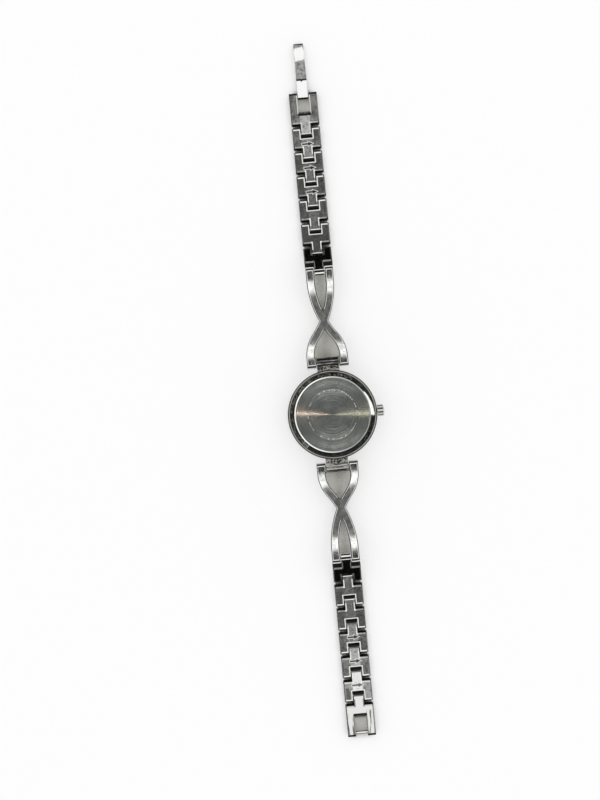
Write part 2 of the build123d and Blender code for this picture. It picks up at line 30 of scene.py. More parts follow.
# Where the photograph shows the watch, in its pixels, and how large a pixel is on the table
PHOTO_WIDTH, PHOTO_HEIGHT = 600, 800
CASE_PIXEL = (332.3, 414.4)
PIXEL = 0.2875 * MM
ROLL = radians(5.3)

nodes = frame["nodes"]
joints = {joint["name"]: joint for joint in frame["record"]["behaviour"]["joints"]}


def pivot(name):
    """Place of a hinge, in metres."""
    return Vector(joints[name]["pos_m"])


# Shader maths


class Value:
    """A shader socket that takes part in sums."""

    def __init__(self, finish, socket):
        self.finish = finish
        self.socket = socket

    def math(self, operation, *others):
        """The result of a Math node on this value and the others."""
        operands = [self, *others]
        return self.finish.add("ShaderNodeMath", {"operation": operation}, dict(enumerate(operands)))

    def __add__(self, other):
        return self.math("ADD", other)

    __radd__ = __add__

    def __mul__(self, other):
        return self.math("MULTIPLY", other)

    __rmul__ = __mul__

    def __sub__(self, other):
        return self.math("SUBTRACT", other)

    def __rsub__(self, other):
        return (self * -1).math("ADD", other)

    def __truediv__(self, other):
        return self.math("DIVIDE", other)

    def __rtruediv__(self, other):
        return self.math("POWER", -1) * other

    def __pow__(self, other):
        return self.math("POWER", other)

    def step(self, low, high):
        """0 below low, 1 above high, and smooth between."""
        return self.finish.add("ShaderNodeMapRange", {"interpolation_type": "SMOOTHSTEP", "clamp": True},
                               {"Value": self, "From Min": low, "From Max": high})

    def band(self, middle, half, soft):
        """1 within half of the middle, 0 further than half plus soft from it."""
        away = (self - middle).math("ABSOLUTE")
        return 1 - away.step(half, half + soft)


class Finish:
    """A material under construction."""

    def __init__(self, name):
        self.material = bpy.data.materials.new(name)
        self.material.use_nodes = True
        self.tree = self.material.node_tree
        self.tree.nodes.clear()

    def node(self, kind, settings=None, inputs=None):
        """A node of that kind, with its settings made first, then its sockets' values or links."""
        made = self.tree.nodes.new(kind)
        for key, value in (settings or {}).items():
            setattr(made, key, value)
        for key, value in (inputs or {}).items():
            if isinstance(value, Value):
                self.tree.links.new(value.socket, made.inputs[key])
            else:
                made.inputs[key].default_value = value
        return made

    def add(self, kind, settings=None, inputs=None, output=0):
        """A node's output, as a value for sums."""
        return Value(self, self.node(kind, settings, inputs).outputs[output])

    def place(self, scale=1 / MM, turn=(0, 0, 0), offset=(0, 0, 0)):
        """Object coordinates, in millimetres unless scaled otherwise."""
        raw = self.add("ShaderNodeTexCoord", output="Object")
        sizes = (scale, scale, scale) if isinstance(scale, (int, float)) else scale
        return self.add("ShaderNodeMapping", {"vector_type": "POINT"},
                        {"Vector": raw, "Scale": sizes, "Rotation": turn, "Location": offset})

    def face(self):
        """The normal of the flat face itself, turned with the piece that carries it."""
        true = self.add("ShaderNodeNewGeometry", output="True Normal")
        return self.add("ShaderNodeVectorTransform", {"vector_type": "NORMAL", "convert_from": "WORLD",
                                                      "convert_to": "OBJECT"}, {"Vector": true})

    def parts(self, vector):
        made = self.node("ShaderNodeSeparateXYZ", None, {"Vector": vector})
        return [Value(self, socket) for socket in made.outputs]

    def noise(self, vector, scale, detail=2.0, rough=0.5):
        return self.add("ShaderNodeTexNoise", {"noise_dimensions": "3D"},
                        {"Vector": vector, "Scale": scale, "Detail": detail, "Roughness": rough})

    def rings(self, distance, scale, detail):
        """Noise along one distance alone, which makes rings or rays."""
        return self.add("ShaderNodeTexNoise", {"noise_dimensions": "1D"},
                        {"W": distance, "Scale": scale, "Detail": detail})

    def mix(self, mask, first, second):
        """A colour that goes from first to second as the mask rises."""
        made = self.node("ShaderNodeMix", {"data_type": "RGBA"})
        for key, value in ((0, mask), (6, first), (7, second)):
            if isinstance(value, Value):
                self.tree.links.new(value.socket, made.inputs[key])
            else:
                made.inputs[key].default_value = value if key == 0 else (*value, 1)
        return Value(self, made.outputs[2])

    def bump(self, height, depth, normal=None):
        """A normal from a height that goes from 0 to 1, with its depth in metres."""
        inputs = {"Height": height, "Strength": 1.0, "Distance": depth}
        if normal is not None:
            inputs["Normal"] = normal
        return self.add("ShaderNodeBump", None, inputs)

    def surface(self, **sockets):
        """Finish with one principled shader. Socket names are written with underscores."""
        inputs = {}
        for key, value in sockets.items():
            name = key.replace("_", " ").title().replace("Ior", "IOR")
            if name == "Base Color" and not isinstance(value, Value):
                value = (*value, 1)
            inputs[name] = value
        shader = self.add("ShaderNodeBsdfPrincipled", None, inputs)
        self.node("ShaderNodeOutputMaterial", None, {"Surface": shader})
        return self.material


# Metal finishes

STEEL = (0.60, 0.61, 0.59)
BRIGHT_STEEL = (0.93, 0.93, 0.91)
DARK_STEEL = (0.10, 0.10, 0.11)
DUST_AND_HIGHLIGHT_STEEL = (0.52, 0.51, 0.45)
BACK_SHADE = (0.49, 0.51, 0.475)
BACK_LIGHT = (0.62, 0.645, 0.60)
SHADE_AND_GAP_BLACK = (0.014, 0.013, 0.011)
WARM_DIRT_AND_SHADE = (0.16, 0.13, 0.08)
DRY_GRIME = (0.30, 0.29, 0.24)
BRASS = (0.80, 0.62, 0.30)
COPPER = (0.72, 0.36, 0.20)


def shaded(colour, share):
    """A colour made darker or lighter."""
    return tuple(channel * share for channel in colour)


def scratches(finish, vector, count, seed):
    """Thin straight scratches in a few directions, 0 to 1."""
    marks = 0
    for number in range(count):
        turned = finish.add("ShaderNodeMapping", {"vector_type": "POINT"},
                            {"Vector": vector, "Rotation": (0, 0, seed + 2.4 * number),
                             "Location": (seed * 3.1, number * 7.3, 0), "Scale": (5.0, 0.3, 1.0)})
        lines = finish.noise(turned, 1.0, 1.0)
        marks = lines.step(0.68, 0.75) + marks
    return marks.math("MINIMUM", 1)


class Piece:
    """Places and face directions in a chain piece's own frame: reach along it, rise towards the wrist."""

    def __init__(self, finish, side, near, far):
        away = 1 if side == "six" else -1
        span = far - near
        angle = atan2(span.z, span.y * away)
        self.length = span.length / MM
        self.aside, y, z = finish.parts(finish.place())
        reach = y * away - near.y * away / MM
        lift = z - near.z / MM
        self.along = reach * cos(angle) + lift * sin(angle)
        self.rise = lift * cos(angle) - reach * sin(angle)
        self.sideways, forward, up = finish.parts(finish.face())
        self.outward = forward * away * cos(angle) + up * sin(angle)
        self.up = up * cos(angle) - forward * away * sin(angle)


# Half widths on a link, in millimetres
LINK_HALF = 3.70
TONGUE_HALF = 1.38
PRONG_HALF = 1.80

# Places along a link from its near pin, in millimetres: the round end of its tongue behind the pin, how
# far the barrel and the shoulders reach, and where its two far prongs start
ROUND_END = -0.82
BARREL_REACH = 1.0
SHOULDER_REACH = 3.4
PRONG_START = 4.5

# Where the end link's window starts and its prongs end, from its hinge, in millimetres
WINDOW_START = 5.5
PRONG_END = 11.0

# A plain arrow on some links shows which way the pins come out. Sizes are in millimetres.
ARROW_PLACE = 3.9
ARROW_TIP = 1.5
ARROW_NECK = 0.3
ARROW_HEAD = 0.55
ARROW_SHAFT = 0.2
ARROW_CUT = (0.0, 0.08)
ARROW_BURR = (0.18, 0.28)


def arrow(piece):
    """The arrow's cut and the bright burr round it, each 1 where it lies."""
    across = (piece.along - ARROW_PLACE).math("ABSOLUTE")
    taper = ARROW_HEAD / (ARROW_TIP - ARROW_NECK)
    head = (across - (ARROW_TIP - piece.aside) * taper).math("MAXIMUM", ARROW_NECK - piece.aside)
    shaft_middle = (ARROW_NECK - ARROW_TIP) / 2
    shaft = (piece.aside - shaft_middle).math("ABSOLUTE") - (ARROW_TIP + ARROW_NECK) / 2
    shaft = shaft.math("MAXIMUM", across - ARROW_SHAFT)
    distance = head.math("MINIMUM", shaft)
    level = piece.up.step(0.9, 0.95)
    cut = (1 - distance.step(*ARROW_CUT)) * level
    return cut, (1 - distance.step(*ARROW_BURR)) * level - cut


def link_steel(name, side, number, seed, painted_light):
    """Fine brushed steel with painted highlights on its bevels and painted shade on the walls between the
    links.

    Its painted light says how bright its face is painted, how much of it has a painted white sheen, and how
    far painted shade reaches over its tongue's end. The first link stands steep, is painted darkest, and
    keeps its painted highlights only at the shoulders and round the end of the tongue.
    """
    tone, pale, tongue_shade_reach = painted_light
    marked = number in MARKED_LINKS
    away = Vector((0, MM if side == "six" else -MM, 0))
    finish = Finish(name)
    near = pivot(f"{side}_hinge_{number}")
    far = pivot(f"{side}_hinge_{number + 1}") if number <= LINKS else near + away
    piece = Piece(finish, side, near, far)
    place = finish.place(offset=(seed, seed * 2.3, 0))
    aside = piece.aside.math("ABSOLUTE")

    # Painted highlights on the edges, and painted shade on the walls between the links and over the
    # tongue's end
    outer_side = aside.step(LINK_HALF - 0.04, LINK_HALF + 0.02)
    tongue = 1 - aside.step(TONGUE_HALF - 0.02, TONGUE_HALF + 0.02)
    barrel = tongue * (1 - piece.along.step(BARREL_REACH - 0.1, BARREL_REACH + 0.1))
    # Painted highlights on the bevels and round the tongue's end, weaker on the bevels that face the near
    # end.
    bevel = piece.up.band(0.77, 0.13, 0.02) * (1 - outer_side) * (1 - barrel)
    tip = tongue * piece.along.band(0.0, 0.09, 0.06) * piece.up.step(0.5, 0.6) * (1 - tongue_shade_reach * 2)
    # Painted shade over the rounded end of the tongue, as far as its shade reach.
    fall = tongue * (1 - piece.along.step(tongue_shade_reach - 0.20, tongue_shade_reach - 0.12))
    if number == 1:
        shoulder = 1 - piece.along.step(SHOULDER_REACH - 0.1, SHOULDER_REACH + 0.1)
        shoulder = shoulder * aside.step(TONGUE_HALF + 0.07, TONGUE_HALF + 0.17)
        bevel = bevel * (0.25 + shoulder * 0.75)
        tip = tip + tongue * piece.along.band(ROUND_END, 0.09, 0.06)
    near_side = aside.step(TONGUE_HALF + 0.12, TONGUE_HALF + 0.22) * (piece.outward * -1).step(0.3, 0.5)
    bevel = bevel * (1 - near_side * 0.6)
    edges = (bevel + tip).math("MINIMUM", 1)
    # Painted shade: the walls between the links are painted near black.
    walls = (1 - piece.up.math("ABSOLUTE").step(0.42, 0.6)) * (1 - outer_side)
    dirt_and_shade = ((walls + fall).math("MINIMUM", 1) - tip).math("MAXIMUM", 0)

    # Brushed face, with a painted white sheen in places
    cloud = finish.noise(place, 0.55, 4.0, 0.7)
    patch = finish.noise(place, 1.6, 4.0, 0.7)
    speck = finish.noise(place, 8.0, 3.0, 0.7)
    grain = finish.noise(finish.place((9000, 900, 900), offset=(seed, 0, 0)), 1.0, 3.0, 0.6)
    scratch = scratches(finish, place, 3, seed)
    # Painted light from the table: the painted shade is lighter in patches at the foot of the walls.
    thin = (1 - piece.rise.step(-0.95, -0.75)) * dirt_and_shade * patch.step(0.4, 0.6) * 0.5
    shade = cloud.step(0.3, 0.7) * 0.5 + patch.step(0.3, 0.7) * 0.5
    # The tone paints the face lighter or darker as painted light and shade.
    dull = finish.mix(shade, shaded(STEEL, 0.28 * tone), shaded(STEEL, 0.75 * tone))
    # Painted shade: the outer sides of the link are painted darker.
    side_wall = aside.step(LINK_HALF, LINK_HALF + 0.06) * 0.6
    dull = finish.mix(side_wall, dull, shaded(STEEL, 0.25 * tone))
    streak = finish.noise(finish.place((1300, 160, 160), offset=(seed, 0, 0)), 1.0, 2.0).step(0.42, 0.58)
    prongs = aside.step(PRONG_HALF - 0.05, PRONG_HALF + 0.05)
    prongs = prongs * piece.along.step(PRONG_START - 0.5, PRONG_START + 0.5)
    # Painted sheen: parts of the face are painted a satin white.
    painted_sheen = patch.step(0.40 - pale * 0.3, 0.60 - pale * 0.3) * pale + tongue * min(pale, 0.6)
    painted_sheen = painted_sheen.math("MINIMUM", 1) * (1 - prongs * streak * 0.8) * (1 - outer_side)

    # The arrow, or the painted shade at the prong ends and round the window of an end link
    cut, burr = arrow(piece) if marked else (0.0, 0.0)
    engraved = burr * speck.step(0.25, 0.45) * 0.85 * (1 - painted_sheen)
    # Painted highlights and painted sheen, with real scratches and the burr round the arrow.
    highlight_and_wear = (edges + scratch * 0.25 + painted_sheen + engraved).math("MINIMUM", 1)
    shown = finish.mix(highlight_and_wear, dull, BRIGHT_STEEL)
    if number > LINKS:
        end_line = aside.step(PRONG_HALF - 0.2, PRONG_HALF - 0.1)
        end_line = end_line * piece.along.step(PRONG_END, PRONG_END + 0.15)
        window = 1 - aside.step(PRONG_HALF + 0.05, PRONG_HALF + 0.2)
        window_line = window * piece.along.band(WINDOW_START, 0.35, 0.05)
        dirt_and_shade = (dirt_and_shade + (end_line + window_line) * piece.up.step(0.3, 0.5)).math("MINIMUM", 1)
        # On an end link the edges are painted darker as shade instead of as highlights.
        shown = finish.mix(edges * min(pale, 0.9), shown, shaded(STEEL, 0.4))
    elif marked:
        shown = finish.mix(cut * 0.9, shown, shaded(STEEL, 0.12))
    # The painted shade on the walls, the tongue's end and an end link's ends and window is mixed in here.
    colour = finish.mix(dirt_and_shade - thin, shown, SHADE_AND_GAP_BLACK)
    metal = (1 - edges - dirt_and_shade - painted_sheen * 0.8 - engraved).math("MAXIMUM", 0)
    rough = 0.12 + patch * 0.08 + speck * 0.04 + (edges + dirt_and_shade) * 0.3
    normal = finish.bump(grain * 0.5 + speck * 0.3 - scratch * 0.4, 0.005 * MM)
    return finish.surface(base_color=colour, metallic=metal, roughness=rough, normal=normal,
                          specular_ior_level=0.15)


# The arch of the criss-cross links, how far their hinge ends reach from the pins, and how far down from
# the edge of a strand its painted highlight line and the painted highlight ring round an end reach, in
# millimetres
ARCH_RADIUS = 34.4
STRAND_THICKNESS = 2.2
CROSS_END = 1.3
LINE_DEPTH = 0.14
RING_DEPTH = 0.17
RING_FAR_DEPTH = 1.1


def cross_steel(name, side, seed):
    """Polished steel strands with a painted highlight line along each edge and round each end, and painted
    shade on their outer bevels, walls and end faces.
    """
    finish = Finish(name)
    place = finish.place(offset=(seed, seed, 0))
    piece = Piece(finish, side, pivot(f"{side}_lug_hinge"), pivot(f"{side}_hinge_1"))
    centre = (ARCH_RADIUS ** 2 - (piece.length / 2) ** 2) ** 0.5
    radius = ((piece.along - piece.length / 2) ** 2 + (piece.rise - centre) ** 2).math("SQRT")
    depth = radius - (ARCH_RADIUS - STRAND_THICKNESS / 2)
    sideways, up = piece.sideways, piece.up
    near_end = 1 - piece.along.step(CROSS_END - 0.3, CROSS_END + 0.3)
    near_end = near_end * (piece.outward * -1).step(0.15, 0.3)
    far_end = piece.along.step(piece.length - CROSS_END - 0.3, piece.length - CROSS_END + 0.3)
    far_end = far_end * piece.outward.step(0.15, 0.3)
    ends = (near_end + far_end) * up.step(0.1, 0.2)
    # The painted highlight ring round each end, with painted shade on the end face inside it.
    below = depth.step(RING_DEPTH - 0.05, RING_DEPTH + 0.05)
    ring = ends * (1 - below * (1 - depth.step(RING_FAR_DEPTH - 0.1, RING_FAR_DEPTH + 0.1)))
    # Painted highlight line on the inner part of each bevel, painted shade on its outer part and on the
    # walls.
    bevel = sideways.math("ABSOLUTE").step(0.30, 0.45) * up.step(0.30, 0.45) * (1 - ends)
    chips = finish.noise(place, 1.3, 2.0, 0.6).step(0.60, 0.66) * (1 - piece.along.step(9.0, 12.0))
    line = bevel * (1 - depth.step(LINE_DEPTH - 0.03, LINE_DEPTH + 0.03)) * (1 - chips)
    wall = (1 - up.math("ABSOLUTE").step(0.20, 0.35)) * (1 - ends)
    dark = (bevel - line + wall + ends - ring).math("MINIMUM", 1)
    bright = (line + ring).math("MINIMUM", 1)
    cloud = finish.noise(place, 0.7, 4.0, 0.6)
    speck = finish.noise(place, 3.5, 3.0, 0.7)
    scratch = scratches(finish, place, 3, seed)
    tint = finish.mix(cloud.step(0.3, 0.7), shaded(STEEL, 0.75), shaded(STEEL, 1.3))
    colour = finish.mix(dark, finish.mix(bright, tint, BRIGHT_STEEL), SHADE_AND_GAP_BLACK)
    metal = (1 - bright - dark * 0.8).math("MAXIMUM", 0)
    rough = 0.07 + cloud * 0.08 + speck * 0.05 + (bright + dark) * 0.3 + scratch * 0.1
    normal = finish.bump(speck + cloud * 0.5 - scratch * 0.4, 0.003 * MM)
    return finish.surface(base_color=colour, metallic=metal, roughness=rough, normal=normal)


def bar_steel(name):
    """A thin bar with a painted highlight along its crest and painted shade down its sides."""
    finish = Finish(name)
    _, _, up = finish.parts(finish.face())
    # Painted highlight along the crest, painted shade down the sides.
    crest = up.step(0.80, 0.92)
    colour = finish.mix(crest, SHADE_AND_GAP_BLACK, BRIGHT_STEEL)
    return finish.surface(base_color=colour, metallic=(1 - crest) * 0.8, roughness=0.3,
                          specular_ior_level=0.15)


def polished(name, seed=0.0, rough=0.07, colour=STEEL):
    """Polished steel with hairline scratches and a few dull patches."""
    finish = Finish(name)
    place = finish.place(offset=(seed, seed, 0))
    cloud = finish.noise(place, 0.5, 3.0, 0.6)
    scratch = scratches(finish, place, 2, seed)
    tint = finish.mix(cloud, shaded(colour, 0.9), colour)
    shade = rough + cloud * rough + scratch * 0.12
    normal = finish.bump(finish.noise(place, 4.0, 3.0) - scratch * 0.3, 0.006 * MM)
    return finish.surface(base_color=tint, metallic=1.0, roughness=shade, normal=normal)


# Radii on the back of the case, in millimetres: the line of dirt round the caseback, the painted highlight
# outside it, the painted shade on the outer corner, and the necks and lugs beyond
SEAM_RADIUS = 12.06
RIM_RADIUS = 12.32
CORNER_RADIUS = 12.62
NECK_RADIUS = 13.4
LUG_RADIUS = 14.0


def case_steel(name):
    """Polished case with brown dirt where the caseback, lugs and neck meet, painted highlights on the rim
    and the lower lugs, and painted shade on the outer corner and the upper lugs.
    """
    finish = Finish(name)
    place = finish.place()
    x, y, _ = finish.parts(place)
    radius = (x * x + y * y).math("SQRT")
    _, _, up = finish.parts(finish.face())
    speck = finish.noise(place, 3.0, 4.0, 0.75)
    cloud = finish.noise(place, 0.4, 3.0, 0.6)
    top = up.step(0.6, 0.8)
    # Painted highlight: the rim outside the caseback is painted pale.
    rim = radius.band(RIM_RADIUS, 0.10, 0.04) * top
    seam = radius.band(SEAM_RADIUS, 0.08, 0.04) * up.step(0.5, 0.9)
    # Painted shade on the outer corner of the case.
    corner = radius.band(CORNER_RADIUS, 0.16, 0.04) * up.step(0.4, 0.6)
    neck = radius.band(NECK_RADIUS, 0.55, 0.1) * top
    lug = radius.step(LUG_RADIUS - 0.1, LUG_RADIUS + 0.1)
    below = 1 - y.step(-1, 1)
    speckled = neck * finish.noise(place, 1.3, 3.0, 0.7).step(0.44, 0.54)
    # The dark joint round the caseback, dirt on the necks, and painted shade on the outer corner.
    dirt_and_shade = (seam + speckled + corner).math("MINIMUM", 1)
    scratch = scratches(finish, place, 3, 4.0)
    rolled = finish.noise(finish.place((300, 3200, 3200)), 1.0, 3.0, 0.6)
    # Painted highlight: bright rolled lines on the lower lugs.
    lug_light = lug * below * top * rolled.step(0.45, 0.6)
    pale = (rim * (0.5 + speck * 0.5) + neck * (1 - speckled) * 0.6 + lug_light).math("MINIMUM", 1)
    tint = finish.mix(cloud, shaded(STEEL, 0.85), STEEL)
    # Painted shade: the upper lugs are painted darker than the lower ones.
    dark_lug = lug * (1 - below * 0.6) * (1 - rolled.step(0.5, 0.65) * 0.6)
    tint = finish.mix(dark_lug, tint, shaded(STEEL, 0.2))
    colour = finish.mix(dirt_and_shade, finish.mix(pale, tint, DUST_AND_HIGHLIGHT_STEEL), shaded(WARM_DIRT_AND_SHADE, 0.15))
    rough = 0.10 + cloud * 0.08 + (dirt_and_shade + pale) * 0.3 + scratch * 0.1
    normal = finish.bump(speck * 0.6 + rolled * lug - scratch * 0.4 - dirt_and_shade * 0.5, 0.010 * MM)
    metal = (1 - dirt_and_shade * 0.8 - pale * 0.6).math("MAXIMUM", 0)
    return finish.surface(base_color=colour, metallic=metal, roughness=rough, normal=normal)


# Radii on the caseback, in millimetres
FLAT_RADIUS = 10.55
EDGE_RADIUS = 10.85
SHOULDER_MIDDLE = 11.4
TURNED_LINES = (2.6, 4.1, 5.2, 6.0, 7.7, 8.4, 8.9)
TICK_RING = (6.8, 7.15)
TICKS = 60
NOTCH_ANGLE = radians(223)
NOTCH_HALF = 0.8


def turned_back(name):
    """Caseback turned on a lathe: fine grooves, a ring of plain ticks, a polished edge with a painted
    highlight on its left and painted shade on its right, and a pry notch with painted highlights along its
    sides.
    """
    finish = Finish(name)
    place = finish.place()
    x, y, _ = finish.parts(place)
    radius = (x * x + y * y).math("SQRT").math("MAXIMUM", 0.01)
    flat = 1 - radius.step(FLAT_RADIUS - 0.06, FLAT_RADIUS)
    fine = finish.rings(radius, 40.0, 0.0)
    speck = finish.noise(place, 6.0, 4.0, 0.7)
    cloud = finish.noise(place, 0.35, 4.0, 0.6)
    patch = finish.noise(place, 1.1, 3.0, 0.7)

    # Turned lines, the ring of ticks, and painted highlights along the notch's sides
    lines = 0
    for line in TURNED_LINES:
        lines = radius.band(line, 0.03, 0.05) + lines
    angle = y.math("ARCTAN2", x) * (TICKS / (2 * pi))
    share = angle.math("FRACT").band(0.5, 0.20, 0.08)
    cell = angle.math("FLOOR")
    chance = finish.add("ShaderNodeTexWhiteNoise", {"noise_dimensions": "1D"}, {"W": cell})
    low, high = TICK_RING
    inside = radius.step(low, low + 0.05) * (1 - radius.step(high - 0.05, high))
    ticks = (share * 0.9 + 0.1) * inside * chance.step(0.1, 0.7)
    beside = (y * cos(NOTCH_ANGLE) - x * sin(NOTCH_ANGLE)).math("ABSOLUTE")
    outward = x * cos(NOTCH_ANGLE) + y * sin(NOTCH_ANGLE)
    # Painted highlights along the two sides of the notch.
    notch = beside.band(NOTCH_HALF, 0.06, 0.05) * outward.step(EDGE_RADIUS - 0.1, EDGE_RADIUS)
    mark = (lines * 0.12 + ticks * 0.75 + notch).math("MINIMUM", 1) * speck.step(0.15, 0.4)

    # Grooves that lean outwards, so that each half shows only the light on its own side
    slope = (fine - 0.5).math("ABSOLUTE") * (0.45 + radius * 0.04) * flat
    rounding = radius.step(EDGE_RADIUS, EDGE_RADIUS + 0.04) * (radius - SHOULDER_MIDDLE) * 0.18
    inward = (slope + rounding) / radius
    lean = finish.add("ShaderNodeCombineXYZ", None, {"X": x * inward, "Y": y * inward, "Z": 0.0})
    smooth = finish.add("ShaderNodeTexCoord", output="Normal")
    leaning = finish.add("ShaderNodeVectorMath", {"operation": "ADD"}, {0: smooth, 1: lean})
    level = finish.add("ShaderNodeVectorMath", {"operation": "NORMALIZE"}, {0: leaning})
    packed = finish.add("ShaderNodeVectorMath", {"operation": "MULTIPLY_ADD"},
                        {0: level, 1: (0.5, 0.5, 0.5), 2: (0.5, 0.5, 0.5)})
    grooved = finish.add("ShaderNodeNormalMap", {"space": "OBJECT"}, {"Color": packed})
    scratch = scratches(finish, place, 3, 9.0)
    normal = finish.bump(speck * 0.3 - mark * 0.2 - scratch * 0.15, 0.003 * MM, grooved)

    # Painted highlight on the left of the edge, painted shade on its right, dirt outside it and pits near
    # the middle
    edge = radius.band((FLAT_RADIUS + EDGE_RADIUS) / 2, 0.16, 0.04)
    left = (x * -1 / radius).step(0.2, 0.9)
    # Painted highlight: the left half of the edge is painted bright.
    highlight_and_wear = edge * (x * -1 / radius).step(-0.5, 0.6) * speck.step(0.1, 0.3)
    patches = finish.noise(place, 1.6, 4.0, 0.7).step(0.48, 0.62)
    upper_left = (y - x).step(-2, 4)
    brown = radius.step(EDGE_RADIUS + 0.1, EDGE_RADIUS + 0.3) * patches * (0.25 + 0.75 * upper_left)
    tint = finish.mix(cloud.step(0.3, 0.7), BACK_SHADE, BACK_LIGHT)
    tint = finish.mix(flat * speck.step(0.50, 0.62) * 0.4, tint, shaded(STEEL, 0.5))
    # Painted shade: the right half of the edge is painted darker.
    tint = finish.mix(edge * (1 - left), tint, shaded(STEEL, 0.7))
    pits = flat * radius.step(9, 1) * patch.step(0.66, 0.72)
    tint = finish.mix(brown * 0.7, tint, DRY_GRIME)
    tint = finish.mix(pits * 0.5, tint, shaded(STEEL, 0.2))
    colour = finish.mix((mark * 0.8 + highlight_and_wear * 0.9).math("MINIMUM", 1), tint, BRIGHT_STEEL)
    rough = 0.06 + flat * mark * 0.2 + cloud * 0.02 + scratch * 0.04 + brown * 0.2
    metal = (1 - mark * 0.7 - brown * 0.3 - highlight_and_wear * 0.7).math("MAXIMUM", 0)
    return finish.surface(base_color=colour, metallic=metal, roughness=rough, normal=normal)


# Radii on the crown, in millimetres: the bottoms of its flutes, and the crests between them
FLUTE_RADIUS = 1.63
CREST_RADIUS = 1.66


def crown_steel(name):
    """Polished crown, painted dark as shade at the bottom of its flutes and painted bright as a highlight
    on its crests.
    """
    finish = Finish(name)
    place = finish.place()
    axis_height = pivot("crown_turn").z / MM
    _, y, z = finish.parts(place)
    rise = z - axis_height
    radius = (y * y + rise * rise).math("SQRT")
    x, _, _ = finish.parts(finish.face())
    # Painted shade at the bottom of the flutes.
    inside = 1 - radius.step(FLUTE_RADIUS - 0.07, FLUTE_RADIUS + 0.07)
    groove = inside * (1 - x.math("ABSOLUTE").step(0.4, 0.7))
    cloud = finish.noise(place, 2.0, 3.0)
    # Painted highlight on the crests.
    crest = radius.step(CREST_RADIUS - 0.04, CREST_RADIUS + 0.04) * (1 - x.math("ABSOLUTE").step(0.6, 0.8))
    colour = finish.mix(groove * 0.9, finish.mix(crest, STEEL, BRIGHT_STEEL), SHADE_AND_GAP_BLACK)
    normal = finish.bump(cloud, 0.01 * MM)
    metal = 1 - groove * 0.6 - crest * 0.6
    return finish.surface(base_color=colour, metallic=metal, roughness=0.10 + cloud * 0.12, normal=normal)


# Places on the clasp, in millimetres: where its arm ends, from the bar, the arm's half width, where the
# lever's painted highlight starts and stops and the painted shade on its hook starts, from the fold, and
# the lever's half width
SEAM_REACH = 4.6
ARM_HALF = 1.45
CREST_START = 5.05
CREST_STOP = 8.85
HOOK_START = 9.55
LEVER_HALF = 1.40


def clasp_arm_steel(name):
    """Inner plate of the clasp, painted white as a highlight, dark at its fold knuckle and notch, with
    painted shadow on its knuckle round the bar.
    """
    finish = Finish(name)
    near = pivot("clasp_arm_hinge")
    piece = Piece(finish, "six", near, near + Vector((0, MM, 0)))
    place = finish.place()
    cloud = finish.noise(place, 1.2, 4.0, 0.65)
    grain = finish.noise(finish.place((900, 7000, 900)), 1.0, 3.0, 0.6)
    scratch = scratches(finish, place, 3, 1.0)
    notch = (piece.aside.math("ABSOLUTE") * 1.2 + (SEAM_REACH - piece.along)).step(0.35, 0.5)
    # Dark at the fold knuckle and notch, and painted shadow on the knuckle round the bar.
    seam = 1 - notch * (1 - piece.along.step(SEAM_REACH - 0.1, SEAM_REACH)) * piece.along.step(-0.35, -0.2)
    top = piece.up.step(0.6, 0.8)
    # Painted highlight: the top of the plate is painted a satin white.
    painted_sheen = top * (1 - seam) * (1 - scratch * 0.15)
    edge = piece.aside.math("ABSOLUTE").step(ARM_HALF - 0.03, ARM_HALF + 0.05) * top
    painted_sheen = painted_sheen * (1 - edge * 0.8)
    colour = finish.mix(painted_sheen, finish.mix(seam, shaded(STEEL, 0.9), SHADE_AND_GAP_BLACK), (1, 1, 1))
    normal = finish.bump(grain - scratch * 0.4, 0.004 * MM)
    return finish.surface(base_color=colour, metallic=(1 - painted_sheen * 0.95 - seam * 0.15).math("MAXIMUM", 0),
                          roughness=0.14 + cloud * 0.14, normal=normal)


def clasp_lever_steel(name):
    """Lever of the clasp: mottled near its hinge, painted white as a highlight over the crest and painted
    dark as shade round its hook.
    """
    finish = Finish(name)
    near = pivot("clasp_lever_hinge")
    piece = Piece(finish, "six", near, near + Vector((0, MM, 0)))
    place = finish.place()
    aside = piece.aside.math("ABSOLUTE")
    cloud = finish.noise(place, 0.9, 4.0, 0.7)
    patch = finish.noise(place, 2.2, 4.0, 0.7)
    grain = finish.noise(finish.place((900, 7000, 900)), 1.0, 3.0, 0.6)
    scratch = scratches(finish, place, 3, 2.0)
    top = piece.up.step(0.6, 0.8)
    wavy = piece.along + (patch - 0.5) * 1.2 - piece.aside * 0.15
    # Painted highlight over the crest of the lever.
    crest = wavy.step(CREST_START - 0.25, CREST_START + 0.25)
    crest = crest * (1 - wavy.step(CREST_STOP - 0.35, CREST_STOP + 0.35))
    white = top * crest * (1 - aside.step(LEVER_HALF - 0.12, LEVER_HALF))
    # Painted shade round the hook and down its sides.
    hook_sides = aside.step(LEVER_HALF - 0.25, LEVER_HALF - 0.15)
    hook_sides = hook_sides * piece.along.step(HOOK_START - 1.55, HOOK_START - 0.75)
    tip = top * (piece.along.step(HOOK_START, HOOK_START + 0.15) + hook_sides)
    tip = tip.math("MINIMUM", 1)
    seam = 1 - piece.along.step(-0.25, -0.05)
    shade = cloud.step(0.3, 0.7) * 0.6 + patch.step(0.3, 0.7) * 0.4
    dull = finish.mix(shade, shaded(STEEL, 0.8), (1, 1, 1))
    dark = (tip + seam).math("MINIMUM", 1)
    colour = finish.mix(dark, finish.mix(white, dull, BRIGHT_STEEL), shaded(STEEL, 0.08))
    normal = finish.bump(grain * 0.6 + patch - scratch * 0.4, 0.003 * MM)
    metal = (1 - white * 0.9 - dark * 0.5 - shade * 0.35).math("MAXIMUM", 0)
    return finish.surface(base_color=colour, metallic=metal, roughness=0.14 + patch * 0.12, normal=normal)


# Radius of the printed line under the minute marks, in millimetres
TRACK_RADIUS = 8.25


